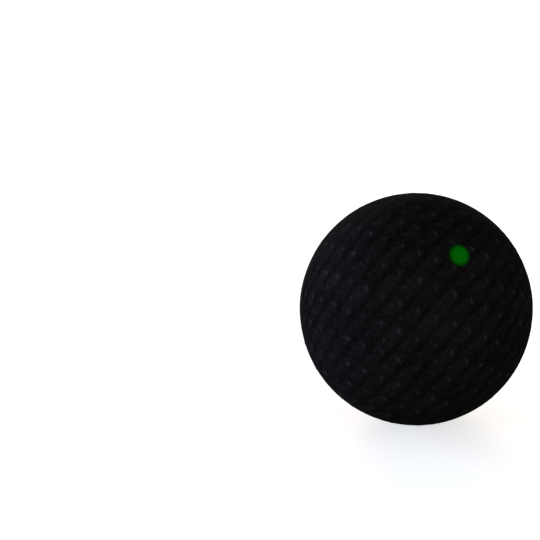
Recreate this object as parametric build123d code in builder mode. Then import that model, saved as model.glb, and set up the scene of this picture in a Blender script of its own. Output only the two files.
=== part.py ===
from build123d import *
import os
from math import cos, radians, sin, sqrt

# Squash ball: two moulded rubber half shells, bonded rim to rim, with one printed grade dot.
# Millimetres, +Z up. The origin is the centre of the ball. Both half shells share the Y axis
# that they were moulded about, so the seam lies in the XZ plane. The front half shell, which
# carries the dot, faces -Y.

# Driving dimensions
ball_diameter = 40.0  # the rules of the game allow 0.5 mm more or less
wall_thickness = 5.2  # brings the ball to 24 g in rubber of 1.2 g/cm3
bond_thickness = 0.3  # cured rubber solution between the two buffed rims
rim_bevel = 0.6  # on the inner edge of each rim, where the solution gathers
bead_rise = 0.4  # how far the squeezed-out solution stands into the hollow
dot_length = 4.4  # from the front pole towards the seam: the dot is printed slightly oval
dot_width = 3.9
dot_thickness = 0.05  # a printed film of ink
dot_bearing = 31.5  # degrees from -Y towards +X
dot_elevation = 46.2  # degrees above level

# Sizes that follow from them
ball_radius = ball_diameter / 2
hollow_radius = ball_radius - wall_thickness
rim_height = bond_thickness / 2
bevel_height = rim_height + rim_bevel
dot_film_radius = ball_radius + dot_thickness


def beside_axis(sphere_radius, along_axis):
    """How far from the axis a sphere's surface lies, at a distance along the axis."""
    return sqrt(sphere_radius**2 - along_axis**2)


# Corners of the front rim's section: distance from the moulding axis, then place along it.
# The half shells and the bond are drawn through the same three corners.
rim_outer_corner = (beside_axis(ball_radius, rim_height), -rim_height)
rim_inner_corner = (beside_axis(hollow_radius, rim_height) + rim_bevel, -rim_height)
bevel_corner = (beside_axis(hollow_radius, bevel_height), -bevel_height)
rim_outer_corner_across_seam = (rim_outer_corner[0], rim_height)
bevel_corner_across_seam = (bevel_corner[0], bevel_height)

os.makedirs("parts", exist_ok=True)

# Front half shell: a thick bowl with a flat rim whose inner edge is bevelled
outer_pole = (0, -ball_radius)
inner_pole = (0, -hollow_radius)
with BuildPart() as front_half_shell:
    with BuildSketch(Plane.XY):
        with BuildLine():
            TangentArc(outer_pole, rim_outer_corner, tangent=(1, 0))
            Polyline(rim_outer_corner, rim_inner_corner, bevel_corner)
            TangentArc(inner_pole, bevel_corner, tangent=(1, 0))
            Line(inner_pole, outer_pole)
        make_face()
    revolve(axis=Axis.Y)
front_half_shell.part.label = "front_half_shell"
export_step(front_half_shell.part, "parts/front_half_shell.step")

# Rear half shell: the same moulding, turned to face the front one across the seam
with BuildPart() as rear_half_shell:
    mirror(front_half_shell.part, about=Plane.XZ)
rear_half_shell.part.label = "rear_half_shell"
export_step(rear_half_shell.part, "parts/rear_half_shell.step")

# Seam bond: a film between the rims, buffed flush outside, that swells into a bead inside
flush_skin = (ball_radius, 0)
bead_crest = (hollow_radius - bead_rise, 0)
with BuildPart() as seam_bond:
    with BuildSketch(Plane.XY):
        with BuildLine():
            Polyline(rim_outer_corner, rim_inner_corner, bevel_corner)
            mirror(about=Plane.XZ)
            ThreePointArc(rim_outer_corner, flush_skin, rim_outer_corner_across_seam)
            ThreePointArc(bevel_corner, bead_crest, bevel_corner_across_seam)
        make_face()
    revolve(axis=Axis.Y)
seam_bond.part.label = "seam_bond"
export_step(seam_bond.part, "parts/seam_bond.step")

# Grade dot: an oval film of ink that lies on the front half shell
level_reach = cos(radians(dot_elevation))
dot_direction = Vector(
    level_reach * sin(radians(dot_bearing)),
    -level_reach * cos(radians(dot_bearing)),
    sin(radians(dot_elevation)),
)
dot_crosswise = Axis.Y.direction.cross(dot_direction)
dot_plane = Plane((0, 0, 0), x_dir=dot_crosswise, z_dir=dot_direction)
with BuildPart() as grade_dot:
    with BuildSketch(dot_plane):
        Ellipse(dot_width / 2, dot_length / 2)
    extrude(amount=ball_diameter)
    Sphere(dot_film_radius, mode=Mode.INTERSECT)
    Sphere(ball_radius, mode=Mode.SUBTRACT)
grade_dot.part.label = "grade_dot"
export_step(grade_dot.part, "parts/grade_dot.step")

shell_volume = front_half_shell.part.volume + rear_half_shell.part.volume
rubber_volume = shell_volume + seam_bond.part.volume
print("rubber", round(rubber_volume / 1000, 2), "cm3")
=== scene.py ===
# %% [markdown]
# A squash ball, dressed around its frame.
# The real ball is two thick rubber bowls, glued rim to rim, buffed matt and printed with one dot.
# The frame brings those pieces at their real size. This lesson gives them the skin that the mould
# leaves, the buffed seam, the ink of the dot, and light that lets a nearly black thing be read.

# %% Load the frame
import math

import bmesh
import bpy
from mathutils import Euler, Matrix, Vector


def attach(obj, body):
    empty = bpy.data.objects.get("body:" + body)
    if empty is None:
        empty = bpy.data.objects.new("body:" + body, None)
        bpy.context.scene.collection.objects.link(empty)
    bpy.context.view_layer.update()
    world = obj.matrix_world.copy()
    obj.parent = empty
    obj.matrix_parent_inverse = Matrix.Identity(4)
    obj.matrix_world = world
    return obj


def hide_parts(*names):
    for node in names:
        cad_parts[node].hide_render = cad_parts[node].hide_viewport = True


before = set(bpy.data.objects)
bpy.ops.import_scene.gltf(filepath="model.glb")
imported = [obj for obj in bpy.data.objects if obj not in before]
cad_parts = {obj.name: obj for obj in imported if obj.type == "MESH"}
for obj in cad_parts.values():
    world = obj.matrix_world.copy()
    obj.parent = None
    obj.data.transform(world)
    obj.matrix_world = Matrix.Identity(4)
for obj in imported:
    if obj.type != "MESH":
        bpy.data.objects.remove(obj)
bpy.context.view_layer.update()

print("nodes", sorted(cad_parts))

# %% [markdown]
# Sizes come from the frame, never from the eye, so that every piece lands where the solids are.
# A node's mesh sits in the ball's own frame, in metres, with the ball's centre at the origin and the
# seam in the plane y = 0. That makes the sizes easy to read: the rim is the front bowl's highest y,
# and the hollow is the smallest distance of any of its points from the centre. The dot's direction is
# the mean place of its faces, and its longest spoke from there tells how its oval lies.

# %% Read the bowls and the bond off their nodes
MM = 0.001
RIM_SLACK = 0.015 * MM  # points this near to the rim's plane lie on the rim


def node_points(name):
    """The points of a frame node, as vectors."""
    return [vertex.co.copy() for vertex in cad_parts[name].data.vertices]


def beside_axis(point):
    """How far a point lies from the moulding axis."""
    return math.hypot(point.x, point.z)


def mm(length):
    """A length in millimetres, for printing."""
    return round(length / MM, 3)


shell_points = node_points("front_half_shell")
bond_points = node_points("seam_bond")
ball_radius = max(point.length for point in shell_points)
hollow_radius = min(point.length for point in shell_points)
rim_height = -max(point.y for point in shell_points)
rim_points = [point for point in shell_points if point.y > -rim_height - RIM_SLACK]
rim_inner_radius = min(beside_axis(point) for point in rim_points)
bevel_height = max(point.y for point in bond_points)
bead_crest_radius = min(beside_axis(point) for point in bond_points)
print("ball radius", mm(ball_radius), "mm, hollow", mm(hollow_radius), "mm")
print("rim height", mm(rim_height), "mm, bevel height", mm(bevel_height), "mm")
print("rim inner radius", mm(rim_inner_radius), "mm, bead", mm(bead_crest_radius), "mm")

# %% Read the dot off its node
dot_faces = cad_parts["grade_dot"].data.polygons
dot_axis = sum((face.center * face.area for face in dot_faces), Vector()).normalized()
dot_spokes = [point - dot_axis * point.dot(dot_axis) for point in node_points("grade_dot")]
longest_spoke = max(dot_spokes, key=lambda spoke: spoke.length)
dot_half_length = longest_spoke.length
dot_lengthwise = longest_spoke.normalized()
dot_crosswise = dot_axis.cross(dot_lengthwise)
dot_half_width = max(spoke.dot(dot_crosswise) for spoke in dot_spokes)
print("dot", mm(2.0 * dot_half_length), "by", mm(2.0 * dot_half_width), "mm")
print("dot towards", [round(share, 3) for share in dot_axis])

# %% [markdown]
# A node tree is a list of nodes and links, and writing one in a script gets long.
# This small class keeps it short: it feeds a socket with a number or a link, and each other method
# adds one common node and hands back its output. The maths nodes serve geometry and shaders alike.

# %% A helper that writes node trees


class Tree:
    """A node tree in the making."""

    def __init__(self, node_tree):
        self.node_tree = node_tree
        self.given = None  # what comes in, where the tree is a group
        self.result = None  # and what goes out

    def feed(self, socket, value):
        """Put a plain value or another node's output into a socket."""
        if isinstance(value, bpy.types.NodeSocket):
            self.node_tree.links.new(value, socket)
        else:
            socket.default_value = value

    def add(self, kind, values=None, **settings):
        """Add a node, set its options, and feed its sockets by name or by number."""
        node = self.node_tree.nodes.new(kind)
        for option, choice in settings.items():
            setattr(node, option, choice)
        for name, value in (values or {}).items():
            self.feed(node.inputs[name], value)
        return node

    def place(self, group, values):
        """Put a finished group into this tree and hand back its outputs."""
        kind = "GeometryNodeGroup" if self.node_tree.type == "GEOMETRY" else "ShaderNodeGroup"
        return self.add(kind, values, node_tree=group.node_tree).outputs

    def maths(self, operation, *values):
        return self.add("ShaderNodeMath", dict(enumerate(values)), operation=operation).outputs[0]

    def vector(self, operation, *values):
        node = self.add("ShaderNodeVectorMath", dict(enumerate(values)), operation=operation)
        return node.outputs["Vector"]

    def length(self, vector):
        return self.add("ShaderNodeVectorMath", {0: vector}, operation="LENGTH").outputs["Value"]

    def scaled(self, vector, factor):
        node = self.add("ShaderNodeVectorMath", {0: vector, "Scale": factor}, operation="SCALE")
        return node.outputs["Vector"]

    def split(self, vector):
        return self.add("ShaderNodeSeparateXYZ", {0: vector}).outputs

    def joined(self, x, y, z):
        return self.add("ShaderNodeCombineXYZ", {0: x, 1: y, 2: z}).outputs[0]

    def eased(self, value, start, end, first, last, curve="SMOOTHSTEP"):
        """Carry a value from first, at start, to last, at end."""
        spans = {"Value": value, "From Min": start, "From Max": end, "To Min": first, "To Max": last}
        return self.add("ShaderNodeMapRange", spans, interpolation_type=curve).outputs["Result"]

    def noise(self, vector, scale, detail):
        values = {"Vector": vector, "Scale": scale, "Detail": detail}
        return self.add("ShaderNodeTexNoise", values).outputs[0]


print("helper ready:", Tree.__name__)

# %% A helper that starts a group
FLOAT = "NodeSocketFloat"
WHOLE = "NodeSocketInt"
VECTOR = "NodeSocketVector"
ROTATION = "NodeSocketRotation"
MESH = "NodeSocketGeometry"
MATERIAL = "NodeSocketMaterial"


def new_group(name, kind, inputs, outputs):
    """An empty node group with named sockets."""
    group = Tree(bpy.data.node_groups.new(name, kind))
    for socket_name, socket_kind in inputs:
        group.node_tree.interface.new_socket(socket_name, in_out="INPUT", socket_type=socket_kind)
    for socket_name, socket_kind in outputs:
        group.node_tree.interface.new_socket(socket_name, in_out="OUTPUT", socket_type=socket_kind)
    group.given = group.add("NodeGroupInput").outputs
    group.result = group.add("NodeGroupOutput").inputs
    return group


print("helper ready:", new_group.__name__)

# %% [markdown]
# The skin of the ball is a close field of low drops that the mould leaves, like the weave of a twill
# cloth. Each drop is a slanting leaf: a broad flat body with a slot beside it, a small speck on its
# left flank, and a compact head at its upper right tip. The heads stand in rows. Beside the seam,
# where the ball was buffed, the drops run out.
# A bump map could only fake this, and the outline would stay a perfect circle, so the drops are real
# geometry. Scattered points would be the easy way to place them, but those have no rows. So the skin
# is a formula: each row is a ring round one axis, like a circle of latitude, with a whole number of
# drops in it, and every point of a fine icosphere asks the rows near it how high it has to stand.

# %% Sizes of the moulded skin
SKIN_SUBDIVISIONS = 8  # fine edges of about 0.17 mm
relief_depth = 0.07 * MM  # from the highest head to the deepest slot
row_pitch = 1.15 * MM  # from one row to the next
drop_pitch = 3.20 * MM  # from drop to drop along a row
drop_slant = 0.115  # share of a drop pitch by which each row stands further along
row_width = 0.40  # how wide a row is, as a share of the row pitch
drop_stray = 0.32 * MM  # how far a drop may lie from its place
stray_size = 2.2 * MM  # drops that are nearer than this stray together
ripple_size = 0.5 * MM  # the rubber ripples at about this width
ripple_share = 0.14  # share of the depth by which it ripples
band_plain = 0.30 * MM  # half width of the buffed band at the seam
band_fade = 1.00 * MM  # at this distance from the seam the drops stand clear
rows_lean = math.radians(22.4)  # the rows run down to the right, seen from the front
rows_tilt = math.radians(22.0)  # their axis leans back from upright
rows_turn = Euler((-rows_tilt, rows_lean, 0.0), "YXZ").to_matrix().to_euler("XYZ")
print("relief", mm(relief_depth), "mm deep, rows", mm(row_pitch), "mm apart")

# %% Sizes of one drop
DROP_ROWS = 4.0  # a drop is this many rows long
HEAD_ROW = DROP_ROWS - 1.0  # its head is on the last of them, counted from 0 at its tail
BODY_ROW = DROP_ROWS / 2.0  # from this row on its body has its full height
BODY_HEIGHT = 0.46  # height of its broad body, as a share of the relief's depth
TAIL_HEIGHT = 0.34  # and at its tail
HEAD_SLOT = 0.39  # height of the slot beside a drop, next to its head, as a share of the body
TAIL_SLOT = 0.76  # and next to its tail
BODY_SLOT = -1.0  # the wave along a row at which a body has run down into the slot beside it
BODY_FLAT = 0.2  # the wave above which it is flat
HEAD_HEIGHT = 0.64  # how far a head stands above its body
HEAD_PLACE = 0.10  # how far it lies to the right, as a share of the drop pitch
HEAD_LEAN = 0.26  # drop pitches, for each row, by which it leans back from the drop's slant
HEAD_NARROWNESS = 7.0  # how quickly a head or a speck falls away along its row
SPECK_HEIGHT = 0.30  # a small speck on each drop's flank
SPECK_PLACE = -0.23  # it lies to the left by this share of the drop pitch
SPECK_ROW = 1.0  # and on this row, counted from the tail
BODY_CHANCE = 0.35  # share by which a drop's body may be lower, by chance
HEAD_CHANCE = 0.25  # and its head
CHANCE_SEED = 5.0  # another seed lowers other drops
print("a drop is", mm(DROP_ROWS * row_pitch), "mm long")

# %% [markdown]
# Four small groups hold the rule of the skin, because the bowls and the dot both need it.
# The first is an icosphere turned so that its pole lies on the moulding axis. The second makes room
# for the bond: it slides points away from the seam, so that the icosphere's middle loop becomes the
# rim. The third is one row. A drop is four rows long, so a row holds one slice of each drop that
# crosses it: its body and slot, and the speck or the head if that lies on this row. Chance makes some
# drops a little lower. The fourth adds up the nearest rows, which fade into each other, and gives the
# skin's distance from the centre at any point.

# %% Group: an icosphere with its pole on the moulding axis
QUARTER_TURN = math.radians(90.0)
turned_ball = new_group(
    "turned_ball",
    "GeometryNodeTree",
    [("Radius", FLOAT), ("Subdivisions", WHOLE)],
    [("Mesh", MESH)],
)
given = turned_ball.given
icosphere = turned_ball.add(
    "GeometryNodeMeshIcoSphere",
    {"Radius": given["Radius"], "Subdivisions": given["Subdivisions"]},
)
turned = turned_ball.add(
    "GeometryNodeTransform",
    {"Geometry": icosphere.outputs["Mesh"], "Rotation": Euler((QUARTER_TURN, 0.0, 0.0))},
)
turned_ball.feed(turned_ball.result["Mesh"], turned.outputs["Geometry"])
print("group", turned_ball.node_tree.name)

# %% Group: make room for the bond
BOWL_SIZES = [("Radius", FLOAT), ("Rim Height", FLOAT), ("Side", FLOAT)]
seam_room = new_group(
    "seam_room",
    "GeometryNodeTree",
    [("Position", VECTOR)] + BOWL_SIZES,
    [("Position", VECTOR)],
)
given = seam_room.given
above_seam = seam_room.maths("ABSOLUTE", seam_room.split(given["Position"])["Y"])
slide = seam_room.eased(above_seam, 0.0, given["Radius"], given["Rim Height"], 0.0, "LINEAR")
slide_along = seam_room.joined(0.0, seam_room.maths("MULTIPLY", slide, given["Side"]), 0.0)
slid = seam_room.vector("ADD", given["Position"], slide_along)
on_ball = seam_room.scaled(seam_room.vector("NORMALIZE", slid), given["Radius"])
seam_room.feed(seam_room.result["Position"], on_ball)
print("group", seam_room.node_tree.name)

# %% Group: one row of drops
FIRST_TAIL = 1.0  # tails lie on this row, and on every fourth row from there, up and down
row_of_drops = new_group(
    "row_of_drops",
    "GeometryNodeTree",
    [("Row", FLOAT), ("Row Place", FLOAT), ("Bearing", FLOAT), ("Radius", FLOAT)],
    [("Height", FLOAT)],
)


def rows_in_radian(tree):
    """How many rows lie on an arc as long as the ball's radius."""
    return tree.maths("DIVIDE", tree.given["Radius"], row_pitch)


given = row_of_drops.given
row_angle = row_of_drops.maths("DIVIDE", given["Row"], rows_in_radian(row_of_drops))
row_radius = row_of_drops.maths("MULTIPLY", row_of_drops.maths("COSINE", row_angle), given["Radius"])
fitting = row_of_drops.maths("MULTIPLY", row_radius, math.tau / drop_pitch)
drops_round = row_of_drops.maths("MAXIMUM", row_of_drops.maths("ROUND", fitting), 1.0)
turns = row_of_drops.maths("DIVIDE", given["Bearing"], math.tau)
slanted = row_of_drops.maths("MULTIPLY", given["Row Place"], -drop_slant)
along = row_of_drops.maths("MULTIPLY_ADD", turns, drops_round, slanted)
past_tail = row_of_drops.maths("SUBTRACT", given["Row"], FIRST_TAIL)
rows_up = row_of_drops.maths("FLOORED_MODULO", past_tail, DROP_ROWS)
off_row = row_of_drops.maths("SUBTRACT", given["Row Place"], given["Row"])
off_row_squared = row_of_drops.maths("MULTIPLY", off_row, off_row)
row_fall = row_of_drops.maths("MULTIPLY", off_row_squared, -0.5 / row_width**2)
row_share = row_of_drops.maths("EXPONENT", row_fall)
print("group", row_of_drops.node_tree.name)

# %% The drops of that row
SAME_ROW = 0.5  # row numbers nearer to each other than this are the same


def wave_along(shift):
    """A wave that is 1 on each drop of the row, moved to the right by a share of the drop pitch."""
    shifted = row_of_drops.maths("SUBTRACT", along, shift)
    return row_of_drops.maths("COSINE", row_of_drops.maths("MULTIPLY", shifted, math.tau))


def compact(wave, on_row, height):
    """A small hump at the top of a wave, on one of the drop's rows only."""
    fall = row_of_drops.maths("MULTIPLY_ADD", wave, HEAD_NARROWNESS, -HEAD_NARROWNESS)
    hump = row_of_drops.maths("MULTIPLY", row_of_drops.maths("EXPONENT", fall), row_share)
    own_row = row_of_drops.maths("COMPARE", rows_up, on_row, SAME_ROW)
    return row_of_drops.maths("MULTIPLY", row_of_drops.maths("MULTIPLY", hump, own_row), height)


slot = row_of_drops.eased(rows_up, 0.0, HEAD_ROW, TAIL_SLOT, HEAD_SLOT, "LINEAR")
across_body = row_of_drops.eased(wave_along(0.0), BODY_SLOT, BODY_FLAT, slot, 1.0)
body_height = row_of_drops.eased(rows_up, 0.0, BODY_ROW, TAIL_HEIGHT, BODY_HEIGHT)
body = row_of_drops.maths("MULTIPLY", across_body, body_height)
head_place = row_of_drops.maths("MULTIPLY_ADD", off_row, -HEAD_LEAN, HEAD_PLACE)
head = compact(wave_along(head_place), HEAD_ROW, HEAD_HEIGHT)
speck = compact(wave_along(SPECK_PLACE), SPECK_ROW, SPECK_HEIGHT)
flank = row_of_drops.maths("ADD", body, speck)
print("a drop of body, speck and head,", len(row_of_drops.node_tree.nodes), "nodes")

# %% Chance lowers some of the drops
drop_number = row_of_drops.maths("FLOORED_MODULO", row_of_drops.maths("ROUND", along), drops_round)
drop_row = row_of_drops.maths("FLOOR", row_of_drops.maths("DIVIDE", past_tail, DROP_ROWS))
chance = row_of_drops.add(
    "ShaderNodeTexWhiteNoise",
    {"Vector": row_of_drops.joined(drop_number, drop_row, CHANCE_SEED)},
    noise_dimensions="3D",
).outputs["Value"]
body_share = row_of_drops.maths("MULTIPLY_ADD", chance, -BODY_CHANCE, 1.0)
head_share = row_of_drops.maths("MULTIPLY_ADD", chance, -HEAD_CHANCE, 1.0)
lower_flank = row_of_drops.maths("MULTIPLY", flank, body_share)
drop_height = row_of_drops.maths("MULTIPLY_ADD", head, head_share, lower_flank)
row_height = row_of_drops.maths("MULTIPLY", drop_height, row_share)
row_of_drops.feed(row_of_drops.result["Height"], row_height)
print("row of drops,", len(row_of_drops.node_tree.nodes), "nodes")

# %% Group: how far from the centre the moulded skin lies
NOISE_MIDDLE = (0.5, 0.5, 0.5)  # a noise node wavers about this
NOISE_REACH = 0.25  # and seldom leaves it by more than this
skin_radius = new_group(
    "skin_radius",
    "GeometryNodeTree",
    [("Position", VECTOR)] + BOWL_SIZES + [("Relief Depth", FLOAT)],
    [("Skin Radius", FLOAT)],
)
given = skin_radius.given
place = skin_radius.scaled(skin_radius.vector("NORMALIZE", given["Position"]), given["Radius"])
drift = skin_radius.add("ShaderNodeTexNoise", {"Vector": place, "Scale": 1.0 / stray_size})
off_middle = skin_radius.vector("SUBTRACT", drift.outputs["Color"], NOISE_MIDDLE)
stray = skin_radius.scaled(off_middle, drop_stray / NOISE_REACH)
in_rows = skin_radius.add(
    "ShaderNodeVectorRotate",
    {"Vector": skin_radius.vector("ADD", place, stray), "Rotation": rows_turn},
    rotation_type="EULER_XYZ",
    invert=True,
).outputs["Vector"]
side, back, up = skin_radius.split(skin_radius.vector("NORMALIZE", in_rows))
bearing = skin_radius.maths("ARCTAN2", side, skin_radius.maths("MULTIPLY", back, -1.0))
latitude = skin_radius.maths("ARCSINE", up)
row_place = skin_radius.maths("MULTIPLY", latitude, rows_in_radian(skin_radius))
nearest_row = skin_radius.maths("ROUND", row_place)
print("group", skin_radius.node_tree.name)

# %% Add up the ripples and the nearest rows
RIPPLE_LOW = 0.3  # the noise at which the ripples are lowest
RIPPLE_HIGH = 0.7  # and highest
RIPPLE_DETAIL = 1.0
NEAR_ROWS = (-1.0, 0.0, 1.0)  # a point asks its nearest row and both neighbours
ripple = skin_radius.noise(place, 1.0 / ripple_size, RIPPLE_DETAIL)
height = skin_radius.eased(ripple, RIPPLE_LOW, RIPPLE_HIGH, -ripple_share, ripple_share, "LINEAR")
for step in NEAR_ROWS:
    near_row = skin_radius.place(
        row_of_drops,
        {
            "Row": skin_radius.maths("ADD", nearest_row, step),
            "Row Place": row_place,
            "Bearing": bearing,
            "Radius": given["Radius"],
        },
    )
    height = skin_radius.maths("ADD", height, near_row["Height"])
print("rows added up:", len(NEAR_ROWS))

# %% The skin runs plain at the seam
below_crest = skin_radius.eased(height, 0.0, 1.0, 1.0, 0.0, "LINEAR")
seam_distance = skin_radius.maths("ABSOLUTE", skin_radius.split(given["Position"])["Y"])
clear_of_band = skin_radius.eased(seam_distance, band_plain, band_fade, 0.0, 1.0)
share_of_depth = skin_radius.maths("MULTIPLY", below_crest, clear_of_band)
depth = skin_radius.maths("MULTIPLY", share_of_depth, given["Relief Depth"])
reach = skin_radius.maths("SUBTRACT", given["Radius"], depth)
skin_radius.feed(skin_radius.result["Skin Radius"], reach)
print("skin rule,", len(skin_radius.node_tree.nodes), "nodes")

# %% [markdown]
# Each half shell is one closed bowl: the moulded skin outside, a flat buffed rim, a bevel where the
# glue gathers, and a smooth hollow. It could be lathed in bmesh, but a lathe has a bad pole and can't
# carry the drops. So half of a fine icosphere becomes the skin, and its open edge is extruded inwards
# ring by ring: once for the rim, once for the bevel, and then in a repeat zone for the hollow, whose
# last ring meets in one point and is merged there.

# %% Tree: the moulded skin of one half shell
half_shell = new_group(
    "half_shell",
    "GeometryNodeTree",
    BOWL_SIZES
    + [
        ("Relief Depth", FLOAT),
        ("Rim Inner Radius", FLOAT),
        ("Bevel Height", FLOAT),
        ("Hollow Radius", FLOAT),
        ("Material", MATERIAL),
    ],
    [("Mesh", MESH)],
)


def where(tree):
    """The place of each point of the mesh that the field is read on."""
    return tree.add("GeometryNodeInputPosition").outputs["Position"]


def moved(tree, mesh, position, selection=True):
    """The mesh with its selected points at a new place."""
    values = {"Geometry": mesh, "Position": position, "Selection": selection}
    return tree.add("GeometryNodeSetPosition", values).outputs["Geometry"]


given = half_shell.given
bowl = {name: given[name] for name, kind in BOWL_SIZES}
whole_ball = half_shell.place(
    turned_ball,
    {"Radius": given["Radius"], "Subdivisions": SKIN_SUBDIVISIONS},
)
own_side = half_shell.maths("MULTIPLY", half_shell.split(where(half_shell))["Y"], given["Side"])
half_ball = half_shell.add(
    "GeometryNodeDeleteGeometry",
    {"Geometry": whole_ball["Mesh"], "Selection": half_shell.maths("LESS_THAN", own_side, 0.0)},
    domain="FACE",
)
roomy_places = half_shell.place(seam_room, {"Position": where(half_shell), **bowl})
roomy = moved(half_shell, half_ball.outputs["Geometry"], roomy_places["Position"])
skin_reach = half_shell.place(
    skin_radius,
    {"Position": where(half_shell), **bowl, "Relief Depth": given["Relief Depth"]},
)
skin_outward = half_shell.vector("NORMALIZE", where(half_shell))
skin = moved(half_shell, roomy, half_shell.scaled(skin_outward, skin_reach["Skin Radius"]))
print("skin drawn from", SKIN_SUBDIVISIONS, "subdivisions")

# %% Tree: the rim and the bevel
OPEN_EDGE = 1.5  # an edge with fewer faces than this is open
ACROSS_AXIS = (1.0, 0.0, 1.0)  # keeps what lies across the moulding axis


def ring_inwards(tree, mesh, reach, height):
    """Extrude the open edge to a reach from the moulding axis and a height above the seam."""
    neighbours = tree.add("GeometryNodeInputMeshEdgeNeighbors").outputs["Face Count"]
    is_open = tree.maths("LESS_THAN", neighbours, OPEN_EDGE)
    extruded = tree.add(
        "GeometryNodeExtrudeMesh",
        {"Mesh": mesh, "Selection": is_open, "Offset Scale": 0.0},
        mode="EDGES",
    )
    across = tree.vector("MULTIPLY", where(tree), ACROSS_AXIS)
    beside = tree.scaled(tree.vector("NORMALIZE", across), reach)
    above = tree.joined(0.0, tree.maths("MULTIPLY", height, tree.given["Side"]), 0.0)
    ring_place = tree.vector("ADD", beside, above)
    return moved(tree, extruded.outputs["Mesh"], ring_place, extruded.outputs["Top"])


def ring_on_hollow(tree, mesh, angle):
    """The next ring inwards, on the hollow, at an angle above the seam."""
    reach = tree.maths("MULTIPLY", tree.given["Hollow Radius"], tree.maths("COSINE", angle))
    height = tree.maths("MULTIPLY", tree.given["Hollow Radius"], tree.maths("SINE", angle))
    return ring_inwards(tree, mesh, reach, height)


bevel_sine = half_shell.maths("DIVIDE", given["Bevel Height"], given["Hollow Radius"])
bevel_angle = half_shell.maths("ARCSINE", bevel_sine)
with_rim = ring_inwards(half_shell, skin, given["Rim Inner Radius"], given["Rim Height"])
with_bevel = ring_on_hollow(half_shell, with_rim, bevel_angle)
print("rim and bevel,", len(half_shell.node_tree.nodes), "nodes so far")

# %% Tree: the hollow
HOLLOW_RINGS = 14
MERGE_DISTANCE = 0.0005 * MM
rings_start = half_shell.add("GeometryNodeRepeatInput")
rings_end = half_shell.add("GeometryNodeRepeatOutput")
rings_start.pair_with_output(rings_end)
half_shell.feed(rings_start.inputs["Iterations"], HOLLOW_RINGS)
half_shell.feed(rings_start.inputs["Geometry"], with_bevel)
ring_number = half_shell.maths("ADD", rings_start.outputs["Iteration"], 1.0)
ring_angle = half_shell.eased(
    ring_number, 0.0, float(HOLLOW_RINGS), bevel_angle, QUARTER_TURN, "LINEAR"
)
ring = ring_on_hollow(half_shell, rings_start.outputs["Geometry"], ring_angle)
half_shell.feed(rings_end.inputs["Geometry"], ring)
closed_bowl = half_shell.add(
    "GeometryNodeMergeByDistance",
    {"Geometry": rings_end.outputs["Geometry"], "Distance": MERGE_DISTANCE},
)
print("hollow closed by", HOLLOW_RINGS, "rings")

# %% Tree: smooth faces, sharp corners, and the material
CORNER_ANGLE = math.radians(40.0)


def finished(tree, mesh):
    """Close a tree: shade it, make its instances real and give it the material that it is handed."""
    smooth = tree.add("GeometryNodeSetShadeSmooth", {"Geometry": mesh}, domain="FACE")
    edge_angle = tree.add("GeometryNodeInputMeshEdgeAngle").outputs["Unsigned Angle"]
    crisp = tree.add(
        "GeometryNodeSetShadeSmooth",
        {
            "Geometry": smooth.outputs["Geometry"],
            "Selection": tree.maths("GREATER_THAN", edge_angle, CORNER_ANGLE),
            "Shade Smooth": False,
        },
        domain="EDGE",
    )
    real = tree.add("GeometryNodeRealizeInstances", {"Geometry": crisp.outputs["Geometry"]})
    worn = tree.add(
        "GeometryNodeSetMaterial",
        {"Geometry": real.outputs["Geometry"], "Material": tree.given["Material"]},
    )
    tree.feed(tree.result["Mesh"], worn.outputs["Geometry"])
    return len(tree.node_tree.nodes)


print("half shell tree,", finished(half_shell, closed_bowl.outputs["Geometry"]), "nodes")

# %% [markdown]
# The dot is a slightly oval film of ink, pressed on by a soft pad: it follows the drops, fills the
# hollows a little and thins out at its edge, which is never quite even. A flat disc would cut through
# the skin, so the tree starts from a closed disc, wraps it over the ball about the dot's own
# direction, and asks the skin group how far out each of its points has to lie.

# %% Tree: a disc for the dot
DOT_SIDES = 120
DOT_RINGS = 22
ACROSS_DISC = (1.0, 1.0, 0.0)  # keeps what lies in the plane of the disc
printed_dot = new_group(
    "printed_dot",
    "GeometryNodeTree",
    BOWL_SIZES
    + [
        ("Relief Depth", FLOAT),
        ("Long Angle", FLOAT),
        ("Short Angle", FLOAT),
        ("Dot Rotation", ROTATION),
        ("Material", MATERIAL),
    ],
    [("Mesh", MESH)],
)
given = printed_dot.given
disc = printed_dot.add(
    "GeometryNodeMeshCylinder",
    {
        "Vertices": DOT_SIDES,
        "Side Segments": 1,
        "Fill Segments": DOT_RINGS,
        "Radius": 1.0,
        "Depth": 2.0,
    },
    fill_type="TRIANGLE_FAN",
)
disc_across = printed_dot.vector("MULTIPLY", where(printed_dot), ACROSS_DISC)
disc_height = printed_dot.split(where(printed_dot))["Z"]
kept = printed_dot.add("GeometryNodeCaptureAttribute", {"Geometry": disc.outputs["Mesh"]})
kept.capture_items.new("FLOAT", "Out From Middle")
kept.capture_items.new("FLOAT", "On Top")
printed_dot.feed(kept.inputs["Out From Middle"], printed_dot.length(disc_across))
printed_dot.feed(kept.inputs["On Top"], printed_dot.maths("GREATER_THAN", disc_height, 0.0))
print("disc of", DOT_SIDES, "sides and", DOT_RINGS, "rings")

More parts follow.
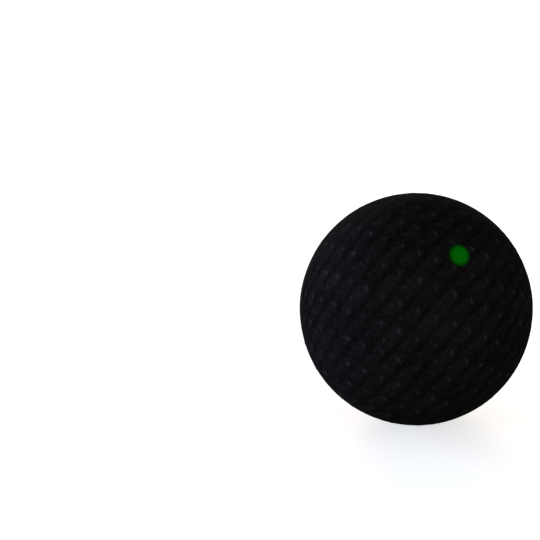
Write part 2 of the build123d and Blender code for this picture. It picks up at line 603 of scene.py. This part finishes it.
# %% Tree: wrap the disc over the ball
EDGE_NOISE_SCALE = 1.7  # on a circle of radius 1, so the edge has a few soft waves
EDGE_NOISE_DETAIL = 3.0
EDGE_NOISE_LOW = 0.25  # the noise at which the edge lies furthest in
EDGE_NOISE_HIGH = 0.75  # and furthest out
edge_wander = 0.03  # share of the way to the edge by which it wanders
disc_outward = printed_dot.vector("NORMALIZE", disc_across)
edge_noise = printed_dot.noise(disc_outward, EDGE_NOISE_SCALE, EDGE_NOISE_DETAIL)
wander = printed_dot.eased(
    edge_noise, EDGE_NOISE_LOW, EDGE_NOISE_HIGH, 1.0 - edge_wander, 1.0, "LINEAR"
)
oval = printed_dot.joined(given["Long Angle"], given["Short Angle"], 0.0)
oval_place = printed_dot.scaled(printed_dot.vector("MULTIPLY", disc_across, oval), wander)
angle = printed_dot.length(oval_place)
oval_outward = printed_dot.vector("NORMALIZE", oval_place)
cap_across = printed_dot.scaled(oval_outward, printed_dot.maths("SINE", angle))
cap_up = printed_dot.joined(0.0, 0.0, printed_dot.maths("COSINE", angle))
cap_place = printed_dot.scaled(printed_dot.vector("ADD", cap_across, cap_up), given["Radius"])
cap = moved(printed_dot, kept.outputs["Geometry"], cap_place)
aimed = printed_dot.add(
    "GeometryNodeTransform",
    {"Geometry": cap, "Rotation": given["Dot Rotation"]},
)
print("disc wrapped, its edge wanders by", edge_wander)

# %% Tree: the top and the underside of the ink
EDGE_ATTRIBUTE = "out_from_middle"  # 0 in the dot's middle, 1 at its edge
ink_film = 0.014 * MM  # ink on top of a drop
ink_levelling = 0.40  # share of a hollow's depth that the ink fills
ink_root = 0.03 * MM  # how far the film's underside reaches into the rubber
edge_ink = 0.003 * MM  # ink left at the very edge
edge_share = 0.55  # the film thins out from this share of the way to the dot's edge


def skin_under(tree, relief):
    """How far out the skin lies at each point, with its relief as deep as given."""
    sizes = {name: tree.given[name] for name, kind in BOWL_SIZES}
    values = {"Position": where(tree), **sizes, "Relief Depth": relief}
    return tree.place(skin_radius, values)["Skin Radius"]


under = skin_under(printed_dot, given["Relief Depth"])
levelled_depth = printed_dot.maths("MULTIPLY", given["Relief Depth"], 1.0 - ink_levelling)
levelled = skin_under(printed_dot, levelled_depth)
full_film = printed_dot.maths("ADD", levelled, ink_film)
edge_film = printed_dot.maths("ADD", under, edge_ink)
out_from_middle = kept.outputs["Out From Middle"]
ink_top = printed_dot.eased(out_from_middle, edge_share, 1.0, full_film, edge_film)
ink_under = printed_dot.maths("SUBTRACT", under, ink_root)
ink_reach = printed_dot.eased(kept.outputs["On Top"], 0.0, 1.0, ink_under, ink_top, "LINEAR")
ink_outward = printed_dot.vector("NORMALIZE", where(printed_dot))
ink_place = printed_dot.scaled(ink_outward, ink_reach)
film = moved(printed_dot, aimed.outputs["Geometry"], ink_place)
marked = printed_dot.add(
    "GeometryNodeStoreNamedAttribute",
    {"Geometry": film, "Name": EDGE_ATTRIBUTE, "Value": out_from_middle},
    data_type="FLOAT",
    domain="POINT",
)
print("dot tree,", finished(printed_dot, marked.outputs["Geometry"]), "nodes")

# %% [markdown]
# The finishes share a few effects, so each effect is a shader group that is built once.
# The first tells crests from hollows by the distance from the ball's centre, which the relief itself
# has set, so the wear, the painted shade in the hollows and the painted highlight on the crests follow
# the real drops. The second is the fine grain of matt rubber. The third is bloom, the thin pale dust
# that rubber sweats out and that hands rub off again. The fourth is the buffing along the seam, with
# faint streaks in the direction that the belt ran.

# %% Group: how high on a drop a point lies
relief_share = new_group(
    "relief_share",
    "ShaderNodeTree",
    [("Position", VECTOR), ("Crest Radius", FLOAT), ("Relief Depth", FLOAT)],
    [("Crest", FLOAT)],
)
given = relief_share.given
from_centre = relief_share.length(given["Position"])
hollow_bottom = relief_share.maths("SUBTRACT", given["Crest Radius"], given["Relief Depth"])
above_hollow = relief_share.eased(from_centre, hollow_bottom, given["Crest Radius"], 0.0, 1.0, "LINEAR")
relief_share.feed(relief_share.result["Crest"], above_hollow)
print("group", relief_share.node_tree.name)

# %% Group: the grain of matt rubber
GRAIN_DETAIL = 3.0
PIT_BRIM = 0.45  # how far from a pit's middle its brim lies, in grains
CLOUD_GRAINS = 7.0  # a cloud of the mottle is this many grains wide
CLOUD_DETAIL = 2.0
MOTTLE_LOW = 0.6  # grain and cloud together, where the mottle is darkest
MOTTLE_HIGH = 1.4  # and palest
rubber_grain = new_group(
    "rubber_grain",
    "ShaderNodeTree",
    [("Position", VECTOR), ("Grain Size", FLOAT)],
    [("Mottle", FLOAT), ("Height", FLOAT)],
)
given = rubber_grain.given
grain_scale = rubber_grain.maths("DIVIDE", 1.0, given["Grain Size"])
grain = rubber_grain.noise(given["Position"], grain_scale, GRAIN_DETAIL)
pits = rubber_grain.add(
    "ShaderNodeTexVoronoi", {"Vector": given["Position"], "Scale": grain_scale}
).outputs["Distance"]
pit_height = rubber_grain.eased(pits, 0.0, PIT_BRIM, 0.0, 1.0)
cloud_scale = rubber_grain.maths("DIVIDE", grain_scale, CLOUD_GRAINS)
cloud = rubber_grain.noise(given["Position"], cloud_scale, CLOUD_DETAIL)
grain_and_cloud = rubber_grain.maths("ADD", grain, cloud)
mottle = rubber_grain.eased(grain_and_cloud, MOTTLE_LOW, MOTTLE_HIGH, 0.0, 1.0)
rubber_grain.feed(rubber_grain.result["Mottle"], mottle)
rubber_grain.feed(rubber_grain.result["Height"], rubber_grain.maths("ADD", grain, pit_height))
print("group", rubber_grain.node_tree.name)

# %% Group: bloom on the rubber
PATCH_DETAIL = 4.0
PATCH_EDGE = 0.42  # the noise at which a patch of dust begins
PATCH_FULL = 0.72  # and at which it is full
PATCH_SPECKS = 16.0  # specks across a patch
SPECK_DETAIL = 2.0
RUBBED_OFF = 0.35  # the noise below which hands have rubbed most of the dust off
LEFT_ALONE = 0.75  # and above which they have left it
RUBBED_DUST = 0.25  # share of the dust that stays where it is rubbed
bloom = new_group(
    "bloom",
    "ShaderNodeTree",
    [("Position", VECTOR), ("Patch Size", FLOAT)],
    [("Dust", FLOAT)],
)
given = bloom.given
patch_scale = bloom.maths("DIVIDE", 1.0, given["Patch Size"])
patch_noise = bloom.noise(given["Position"], patch_scale, PATCH_DETAIL)
patches = bloom.eased(patch_noise, PATCH_EDGE, PATCH_FULL, 0.0, 1.0)
speck_scale = bloom.maths("MULTIPLY", patch_scale, PATCH_SPECKS)
specks = bloom.noise(given["Position"], speck_scale, SPECK_DETAIL)
rubbed = bloom.eased(specks, RUBBED_OFF, LEFT_ALONE, RUBBED_DUST, 1.0)
bloom.feed(bloom.result["Dust"], bloom.maths("MULTIPLY", patches, rubbed))
print("group", bloom.node_tree.name)

# %% Group: buffing along the seam
STREAK_SCALE = (300.0, 14000.0, 300.0)  # noise cells in a metre: long round the ball, thin across
STREAK_DETAIL = 2.0
STREAK_LOW = 0.3  # the noise at which there is no streak
STREAK_HIGH = 0.7  # and at which a streak is full
seam_buffing = new_group(
    "seam_buffing",
    "ShaderNodeTree",
    [("Position", VECTOR), ("Plain Width", FLOAT), ("Fade Width", FLOAT)],
    [("Band", FLOAT), ("Streaks", FLOAT)],
)
given = seam_buffing.given
from_seam = seam_buffing.maths("ABSOLUTE", seam_buffing.split(given["Position"])["Y"])
band = seam_buffing.eased(from_seam, given["Plain Width"], given["Fade Width"], 1.0, 0.0)
stretched = seam_buffing.vector("MULTIPLY", given["Position"], STREAK_SCALE)
streak_noise = seam_buffing.noise(stretched, 1.0, STREAK_DETAIL)
streaks = seam_buffing.eased(streak_noise, STREAK_LOW, STREAK_HIGH, 0.0, 1.0)
seam_buffing.feed(seam_buffing.result["Band"], band)
seam_buffing.feed(seam_buffing.result["Streaks"], seam_buffing.maths("MULTIPLY", streaks, band))
print("group", seam_buffing.node_tree.name)

# %% [markdown]
# The rubber is black right through, so all that can be seen of it is its surface. Its colour follows
# the relief: the hollows are painted darker, as shade, and the crests a little paler, partly from
# buffing and partly as painted highlight. The heads are painted palest, as a glint. The crests are
# also smoother, the heads most of all, and the bloom is a faint dust over all of it. Rubber this matt
# reflects very little, so the specular level is low: with the usual one a white studio would draw a
# bright ring round the ball. A trace of sheen stands for the dust that catches grazing light.

# %% Helpers that the materials share


def colour(red, green, blue):
    return (red, green, blue, 1.0)


def blended(tree, share, first, last):
    """Mix two colours by a share from 0 to 1."""
    return tree.add("ShaderNodeMix", {0: share, 6: first, 7: last}, data_type="RGBA").outputs[2]


def new_material(name, specular):
    """A material with a Principled BSDF. Returns it with its tree, its shader and Object coordinates."""
    material = bpy.data.materials.new(name)
    material.use_nodes = True
    tree = Tree(material.node_tree)
    shader = material.node_tree.nodes["Principled BSDF"]
    shader.inputs["Specular IOR Level"].default_value = specular
    position = tree.add("ShaderNodeTexCoord").outputs["Object"]
    return material, tree, shader, position


def roughened(tree, shader, share, first, last):
    """Let a share from 0 to 1 carry the shader's roughness from first to last."""
    tree.feed(shader.inputs["Roughness"], tree.eased(share, 0.0, 1.0, first, last, "LINEAR"))


def bumped(tree, shader, height, strength, distance):
    """Let a height ripple the shader's normal."""
    values = {"Height": height, "Strength": strength, "Distance": distance}
    tree.feed(shader.inputs["Normal"], tree.add("ShaderNodeBump", values).outputs["Normal"])


print("helpers ready:", new_material.__name__, roughened.__name__, bumped.__name__)

# %% Dust over any rubber
BLOOM_DUST = colour(0.0230, 0.0225, 0.0215)
DUST_SHARE = 0.15  # how thickly the dust lies
bloom_patch = 7.0 * MM


def dusted(tree, position, clean):
    """A colour with the bloom's dust over it."""
    dust = tree.place(bloom, {"Position": position, "Patch Size": bloom_patch})["Dust"]
    return blended(tree, tree.maths("MULTIPLY", dust, DUST_SHARE), clean, BLOOM_DUST)


print("dust in patches of", mm(bloom_patch), "mm")

# %% Material: shell rubber
# Painted shade and highlight: the hollow colour is darker as painted shade, and the crest colour is
# paler, partly as buffing wear and partly as painted highlight.
RUBBER_HOLLOW_SHADE = colour(0.0018, 0.0018, 0.0018)
RUBBER_CREST_WEAR_AND_HIGHLIGHT = colour(0.0190, 0.0190, 0.0191)
# The tips of the heads are painted palest, as a painted glint.
RUBBER_TIP_GLINT = colour(0.0245, 0.0245, 0.0247)
RUBBER_BAND = colour(0.0056, 0.0056, 0.0057)
RUBBER_SPECULAR = 0.0001
RUBBER_SHEEN = 0.005
SHEEN_ROUGHNESS = 0.30
DARK_MOTTLE = 0.75  # share of a crest's paleness that is left where the mottle is darkest
# The painted glint on the heads begins at this height on the relief.
GLINT_FROM = 0.70  # height on the relief from which a head grows paler still
HOLLOW_ROUGHNESS = 0.95
CREST_ROUGHNESS = 0.75
RUBBER_BUMP = 0.35
grain_size = 0.16 * MM
grain_depth = 0.02 * MM

shell_rubber, rubber, shader, position = new_material("shell_rubber", RUBBER_SPECULAR)
shader.inputs["Sheen Weight"].default_value = RUBBER_SHEEN
shader.inputs["Sheen Roughness"].default_value = SHEEN_ROUGHNESS
crest = rubber.place(
    relief_share,
    {"Position": position, "Crest Radius": ball_radius, "Relief Depth": relief_depth},
)["Crest"]
grains = rubber.place(rubber_grain, {"Position": position, "Grain Size": grain_size})
buffing = rubber.place(
    seam_buffing,
    {"Position": position, "Plain Width": band_plain, "Fade Width": band_fade},
)
mottled = rubber.eased(grains["Mottle"], 0.0, 1.0, DARK_MOTTLE, 1.0)
# Colour from hollow to crest: painted shade in the hollows, painted highlight and buffing wear on the
# crests. The same share makes the crests smoother.
worn_and_highlight_share = rubber.maths("MULTIPLY", crest, mottled)
# The tips of the heads get the painted glint.
glint_share = rubber.eased(crest, GLINT_FROM, 1.0, 0.0, 1.0)
bodies = blended(rubber, worn_and_highlight_share, RUBBER_HOLLOW_SHADE, RUBBER_CREST_WEAR_AND_HIGHLIGHT)
moulded = blended(rubber, glint_share, bodies, RUBBER_TIP_GLINT)
with_band = blended(rubber, buffing["Band"], moulded, RUBBER_BAND)
rubber.feed(shader.inputs["Base Color"], dusted(rubber, position, with_band))
smoothness = rubber.maths("MAXIMUM", worn_and_highlight_share, buffing["Streaks"])
roughened(rubber, shader, smoothness, HOLLOW_ROUGHNESS, CREST_ROUGHNESS)
fine_height = rubber.maths("ADD", grains["Height"], buffing["Streaks"])
bumped(rubber, shader, fine_height, RUBBER_BUMP, grain_depth)
print("material", shell_rubber.name, len(shell_rubber.node_tree.nodes), "nodes")

# %% [markdown]
# The bond is cured rubber solution. It dries a touch browner and smoother than the shells, and it
# takes the same dust and grain, so it uses the same groups with its own values.

# %% Material: bond rubber
BOND_DARK = colour(0.0040, 0.0040, 0.0039)
BOND_PALE = colour(0.0072, 0.0070, 0.0067)
BOND_SPECULAR = 0.0005
BOND_GRAIN = 2.0  # how many times as coarse as the shells' grain
BOND_SMOOTH = 0.60  # roughness where the mottle is darkest
BOND_ROUGH = 0.80  # and palest
BOND_BUMP = 0.20

bond_rubber, bond, shader, position = new_material("bond_rubber", BOND_SPECULAR)
grains = bond.place(rubber_grain, {"Position": position, "Grain Size": BOND_GRAIN * grain_size})
cured = blended(bond, grains["Mottle"], BOND_DARK, BOND_PALE)
bond.feed(shader.inputs["Base Color"], dusted(bond, position, cured))
roughened(bond, shader, grains["Mottle"], BOND_SMOOTH, BOND_ROUGH)
bumped(bond, shader, grains["Height"], BOND_BUMP, grain_depth)
print("material", bond_rubber.name, len(bond_rubber.node_tree.nodes), "nodes")

# %% [markdown]
# The ink is a flat printing green. In the hollows it pools and is deeper, on the crests it is thin
# and a shade paler, and the pad leaves a faint mottle over all of it. Towards the dot's edge it runs
# dry and the rubber shows through, in the hollows first, because the pad touches the crests best.

# %% Material: dot ink
INK_POOLED = colour(0.0010, 0.1620, 0.0018)
INK_THIN = colour(0.0018, 0.1740, 0.0028)
INK_SPECULAR = 0.004
INK_MOTTLE = 0.4  # share of a crest's thinness that is left where the mottle is darkest
CREST_HOLD = 0.15  # on a crest the ink holds this much further out
INK_WHOLE = 0.46  # up to this share of the way to the dot's edge the ink covers all
INK_GONE = 1.12  # and here it would be gone
INK_SMOOTH = 0.42  # roughness where the mottle is darkest
INK_ROUGH = 0.60  # and palest
INK_BUMP = 0.15
ink_grain_depth = 0.01 * MM

dot_ink, ink, shader, position = new_material("dot_ink", INK_SPECULAR)
crest = ink.place(
    relief_share,
    {
        "Position": position,
        "Crest Radius": ball_radius + ink_film,
        "Relief Depth": relief_depth * (1.0 - ink_levelling),
    },
)["Crest"]
grains = ink.place(rubber_grain, {"Position": position, "Grain Size": grain_size})
ink_mottled = ink.eased(grains["Mottle"], 0.0, 1.0, INK_MOTTLE, 1.0)
thin_share = ink.maths("MULTIPLY", crest, ink_mottled)
inked = blended(ink, thin_share, INK_POOLED, INK_THIN)
# The bare rubber at the dot's edge keeps the painted shade in the hollows and the painted highlight on
# the crests.
bare = blended(ink, thin_share, RUBBER_HOLLOW_SHADE, RUBBER_CREST_WEAR_AND_HIGHLIGHT)
towards_edge = ink.add("ShaderNodeAttribute", attribute_name=EDGE_ATTRIBUTE).outputs["Fac"]
run_dry = ink.maths("MULTIPLY_ADD", crest, -CREST_HOLD, towards_edge)
covered = ink.eased(run_dry, INK_WHOLE, INK_GONE, 1.0, 0.0)
ink.feed(shader.inputs["Base Color"], blended(ink, covered, bare, inked))
roughened(ink, shader, grains["Mottle"], INK_SMOOTH, INK_ROUGH)
bumped(ink, shader, grains["Height"], INK_BUMP, ink_grain_depth)
print("material", dot_ink.name, len(dot_ink.node_tree.nodes), "nodes")

# %% [markdown]
# Now the trees are run. A tree sits on an object as a modifier, and its inputs are set by the sockets'
# identifiers before anything is evaluated. The result is kept as a plain mesh and the modifier is
# taken off again, because a plain mesh is what rides on the frame.

# %% Make the half shells


def made_by(tree, name, inputs):
    """Run a tree with these inputs and keep what it makes as a plain mesh object."""
    piece = bpy.data.objects.new(name, bpy.data.meshes.new(name))
    bpy.context.scene.collection.objects.link(piece)
    modifier = piece.modifiers.new(name, "NODES")
    modifier.node_group = tree.node_tree
    for socket in tree.node_tree.interface.items_tree:
        if socket.in_out == "INPUT":
            modifier[socket.identifier] = inputs[socket.name]
    evaluated = piece.evaluated_get(bpy.context.evaluated_depsgraph_get())
    piece.data = bpy.data.meshes.new_from_object(evaluated)
    piece.modifiers.remove(modifier)
    return piece


def triangles(piece):
    return sum(len(polygon.vertices) - 2 for polygon in piece.data.polygons)


FRONT = -1.0
REAR = 1.0
shell_inputs = {
    "Radius": ball_radius,
    "Rim Height": rim_height,
    "Relief Depth": relief_depth,
    "Rim Inner Radius": rim_inner_radius,
    "Bevel Height": bevel_height,
    "Hollow Radius": hollow_radius,
    "Material": shell_rubber,
}
front_bowl = made_by(half_shell, "front_bowl", {**shell_inputs, "Side": FRONT})
rear_bowl = made_by(half_shell, "rear_bowl", {**shell_inputs, "Side": REAR})
for piece in (front_bowl, rear_bowl):
    print(piece.name, triangles(piece), "triangles")

# %% Make the dot
dot_inputs = {
    "Radius": ball_radius,
    "Rim Height": rim_height,
    "Side": FRONT,
    "Relief Depth": relief_depth,
    "Long Angle": math.asin(dot_half_length / ball_radius),
    "Short Angle": math.asin(dot_half_width / ball_radius),
    "Dot Rotation": Matrix((dot_lengthwise, dot_crosswise, dot_axis)).transposed().to_euler(),
    "Material": dot_ink,
}
ink_dot = made_by(printed_dot, "ink_dot", dot_inputs)
print(ink_dot.name, triangles(ink_dot), "triangles")

# %% [markdown]
# The bond is a plain ring, so it is lathed: one section, carried round the moulding axis in as many
# steps as the rims have corners. At the skin the cured film has shrunk into a hairline groove, and
# inside it swells into the bead that was squeezed out when the halves were pressed together.

# %% The bond's section
GROOVE_STEPS = 6
BEAD_STEPS = 16
groove_depth = 0.035 * MM


def bond_section():
    """The section as (reach from the axis, y): groove, front rim, bead, and back along the rear rim."""
    section = []
    for step in range(GROOVE_STEPS + 1):
        across = 1.0 - 2.0 * step / GROOVE_STEPS
        y = across * rim_height
        section.append((math.sqrt(ball_radius**2 - y**2) - groove_depth * (1.0 - across**2), y))
    section.append((rim_inner_radius, -rim_height))
    root_reach = math.sqrt(hollow_radius**2 - bevel_height**2)
    for step in range(BEAD_STEPS + 1):
        swing = math.pi * step / BEAD_STEPS
        bulge = (root_reach - bead_crest_radius) * math.sin(swing)
        section.append((root_reach - bulge, -bevel_height * math.cos(swing)))
    section.append((rim_inner_radius, rim_height))
    return section


print("bond section of", len(bond_section()), "corners")

# %% Make the bond ring


def lathed(name, section, sides, material):
    """Carry a closed section round the Y axis."""
    points = []
    for side in range(sides):
        turn = math.tau * side / sides
        points += [(reach * math.cos(turn), y, reach * math.sin(turn)) for reach, y in section]
    count = len(section)
    faces = []
    for side in range(sides):
        here = side * count
        there = (side + 1) % sides * count
        for corner in range(count):
            following = (corner + 1) % count
            faces.append((here + corner, here + following, there + following, there + corner))
    mesh = bpy.data.meshes.new(name)
    mesh.from_pydata(points, [], faces)
    outwards = bmesh.new()
    outwards.from_mesh(mesh)
    bmesh.ops.recalc_face_normals(outwards, faces=outwards.faces)
    outwards.to_mesh(mesh)
    outwards.free()
    mesh.shade_smooth()
    mesh.set_sharp_from_angle(angle=CORNER_ANGLE)
    mesh.materials.append(material)
    piece = bpy.data.objects.new(name, mesh)
    bpy.context.scene.collection.objects.link(piece)
    return piece


rim_corners = 10 * 2 ** (SKIN_SUBDIVISIONS - 2)
bond_ring = lathed("bond_ring", bond_section(), rim_corners, bond_rubber)
print(bond_ring.name, triangles(bond_ring), "triangles")

# %% [markdown]
# Every piece now takes its place on the frame. It rides on the body that carries it, and the solid that
# it dresses is hidden, so that the piece stands for it.

# %% Dress the frame
for piece, node, slot in (
    (front_bowl, "front_half_shell", "shell_rubber"),
    (rear_bowl, "rear_half_shell", "shell_rubber"),
    (bond_ring, "seam_bond", "bond_rubber"),
    (ink_dot, "grade_dot", "dot_ink"),
):
    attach(piece, "root")
    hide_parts(node)
    print(piece.name, "stands for", node)

# %% [markdown]
# The camera stands where the photograph was taken from: 22 degrees above the floor, with a long lens.
# The ball sits right of the middle there, so the camera looks past it rather than shifting its lens.
# Its distance follows from how large the ball appears.

# %% Camera
PHOTO_SIZE = 540.0
BALL_PIXEL = Vector((416.0, 309.1))
BALL_PIXEL_RADIUS = 116.4
LENS_LENGTH = 180.0  # millimetres, as Blender's lenses are given
SENSOR_WIDTH = 36.0
view_elevation = math.radians(22.0)

lens = bpy.data.cameras.new("camera")
lens.lens = LENS_LENGTH
lens.sensor_width = SENSOR_WIDTH
camera = bpy.data.objects.new("camera", lens)
bpy.context.scene.collection.objects.link(camera)
focal_pixels = PHOTO_SIZE * LENS_LENGTH / SENSOR_WIDTH
limb_distance = focal_pixels * ball_radius / BALL_PIXEL_RADIUS
view_distance = math.hypot(limb_distance, ball_radius)
towards_camera = Vector((0.0, -math.cos(view_elevation), math.sin(view_elevation)))
camera.location = towards_camera * view_distance
past_middle = BALL_PIXEL - Vector((PHOTO_SIZE, PHOTO_SIZE)) / 2.0
sight_of_ball = Vector((past_middle.x, -past_middle.y, -focal_pixels))
look_past = sight_of_ball.rotation_difference(Vector((0.0, 0.0, -1.0)))
camera.rotation_euler = ((-towards_camera).to_track_quat("-Z", "Y") @ look_past).to_euler()
bpy.context.scene.camera = camera
print("camera", round(view_distance, 4), "m from the ball")

# %% [markdown]
# The light is plain and soft. A black ball shows its roundness only where light grazes it, so the
# lamps stand low, not far above the floor. The key comes from the left and the rim light from behind
# it, both cool as daylight, and a warm one at the back draws the top edge. Two weak ones, on the right
# and in front, keep the dark side readable. Suns are used because they light every drop alike, and
# their wide angle keeps the shadow soft.
# The world lights the rest. To the camera and in reflections it is white, as the backdrop is.

# %% Lamps


def sun(name, towards, share, tint, spread):
    """A soft sun. A share of 1 renders a facing surface about as bright as its colour."""
    lamp = bpy.data.lights.new(name, "SUN")
    lamp.energy = share * math.pi
    lamp.color = tint
    lamp.angle = math.radians(spread)
    holder = bpy.data.objects.new(name, lamp)
    holder.rotation_euler = Vector(towards).to_track_quat("Z", "Y").to_euler()
    bpy.context.scene.collection.objects.link(holder)
    print(name, share)


sun("key", towards=(-0.94, -0.34, 0.10), share=0.66, tint=(0.56, 0.67, 1.0), spread=20.0)
sun("rim", towards=(-0.86, 0.50, 0.06), share=0.95, tint=(0.64, 0.82, 1.0), spread=20.0)
sun("back", towards=(-0.12, 0.96, 0.20), share=1.00, tint=(1.0, 0.76, 0.54), spread=30.0)
sun("fill", towards=(0.78, -0.55, 0.25), share=0.22, tint=(1.0, 0.98, 0.92), spread=50.0)
sun("front", towards=(-0.56, -0.83, 0.10), share=0.18, tint=(0.88, 0.94, 1.0), spread=20.0)

# %% World
WORLD_LIGHT = 0.30
WHITE = colour(1.0, 1.0, 1.0)


def seen_directly(tree):
    """1 for rays of the camera, of reflections and of glass, and 0 for light that bounces."""
    rays = tree.add("ShaderNodeLightPath").outputs
    seen = tree.maths("MAXIMUM", rays["Is Camera Ray"], rays["Is Glossy Ray"])
    return tree.maths("MAXIMUM", seen, rays["Is Transmission Ray"])


world = bpy.data.worlds.new("studio")
world.use_nodes = True
bpy.context.scene.world = world
studio = Tree(world.node_tree)
backdrop = world.node_tree.nodes["Background"]
backdrop_strength = studio.eased(seen_directly(studio), 0.0, 1.0, WORLD_LIGHT, 1.0, "LINEAR")
studio.feed(backdrop.inputs["Color"], WHITE)
studio.feed(backdrop.inputs["Strength"], backdrop_strength)
bpy.context.scene.view_settings.view_transform = "Standard"
print("world light", WORLD_LIGHT)

# %% [markdown]
# The floor is a wide pale sheet just under the ball. It keeps the ball's shadow. To the camera a
# little glow lifts it to white, and light that bounces off it is held back, so that it doesn't
# flood the ball's dark underside.

# %% Floor
FLOOR_SIZE = 3.0
FLOOR_CORNERS = ((-1.0, -1.0), (1.0, -1.0), (1.0, 1.0), (-1.0, 1.0))
FLOOR_PALE = colour(0.90, 0.90, 0.90)
FLOOR_GLOW = 0.62
FLOOR_BOUNCE = colour(0.50, 0.50, 0.50)

half_floor = FLOOR_SIZE / 2.0
corners = [(x * half_floor, y * half_floor, -ball_radius) for x, y in FLOOR_CORNERS]
floor_mesh = bpy.data.meshes.new("floor")
floor_mesh.from_pydata(corners, [], [(0, 1, 2, 3)])
floor = bpy.data.objects.new("floor", floor_mesh)
bpy.context.scene.collection.objects.link(floor)

floor_paper = bpy.data.materials.new("floor_paper")
floor_paper.use_nodes = True
paper = Tree(floor_paper.node_tree)
floor_paper.node_tree.nodes.remove(floor_paper.node_tree.nodes["Principled BSDF"])
pale = paper.add("ShaderNodeBsdfDiffuse", {"Color": FLOOR_PALE})
glow = paper.add("ShaderNodeEmission", {"Color": WHITE, "Strength": FLOOR_GLOW})
lit = paper.add("ShaderNodeAddShader", {0: pale.outputs[0], 1: glow.outputs[0]})
held_back = paper.add("ShaderNodeBsdfDiffuse", {"Color": FLOOR_BOUNCE})
either = paper.add(
    "ShaderNodeMixShader",
    {0: seen_directly(paper), 1: held_back.outputs[0], 2: lit.outputs[0]},
)
paper.feed(floor_paper.node_tree.nodes["Material Output"].inputs["Surface"], either.outputs[0])
floor_mesh.materials.append(floor_paper)
print("floor", FLOOR_SIZE, "m wide")
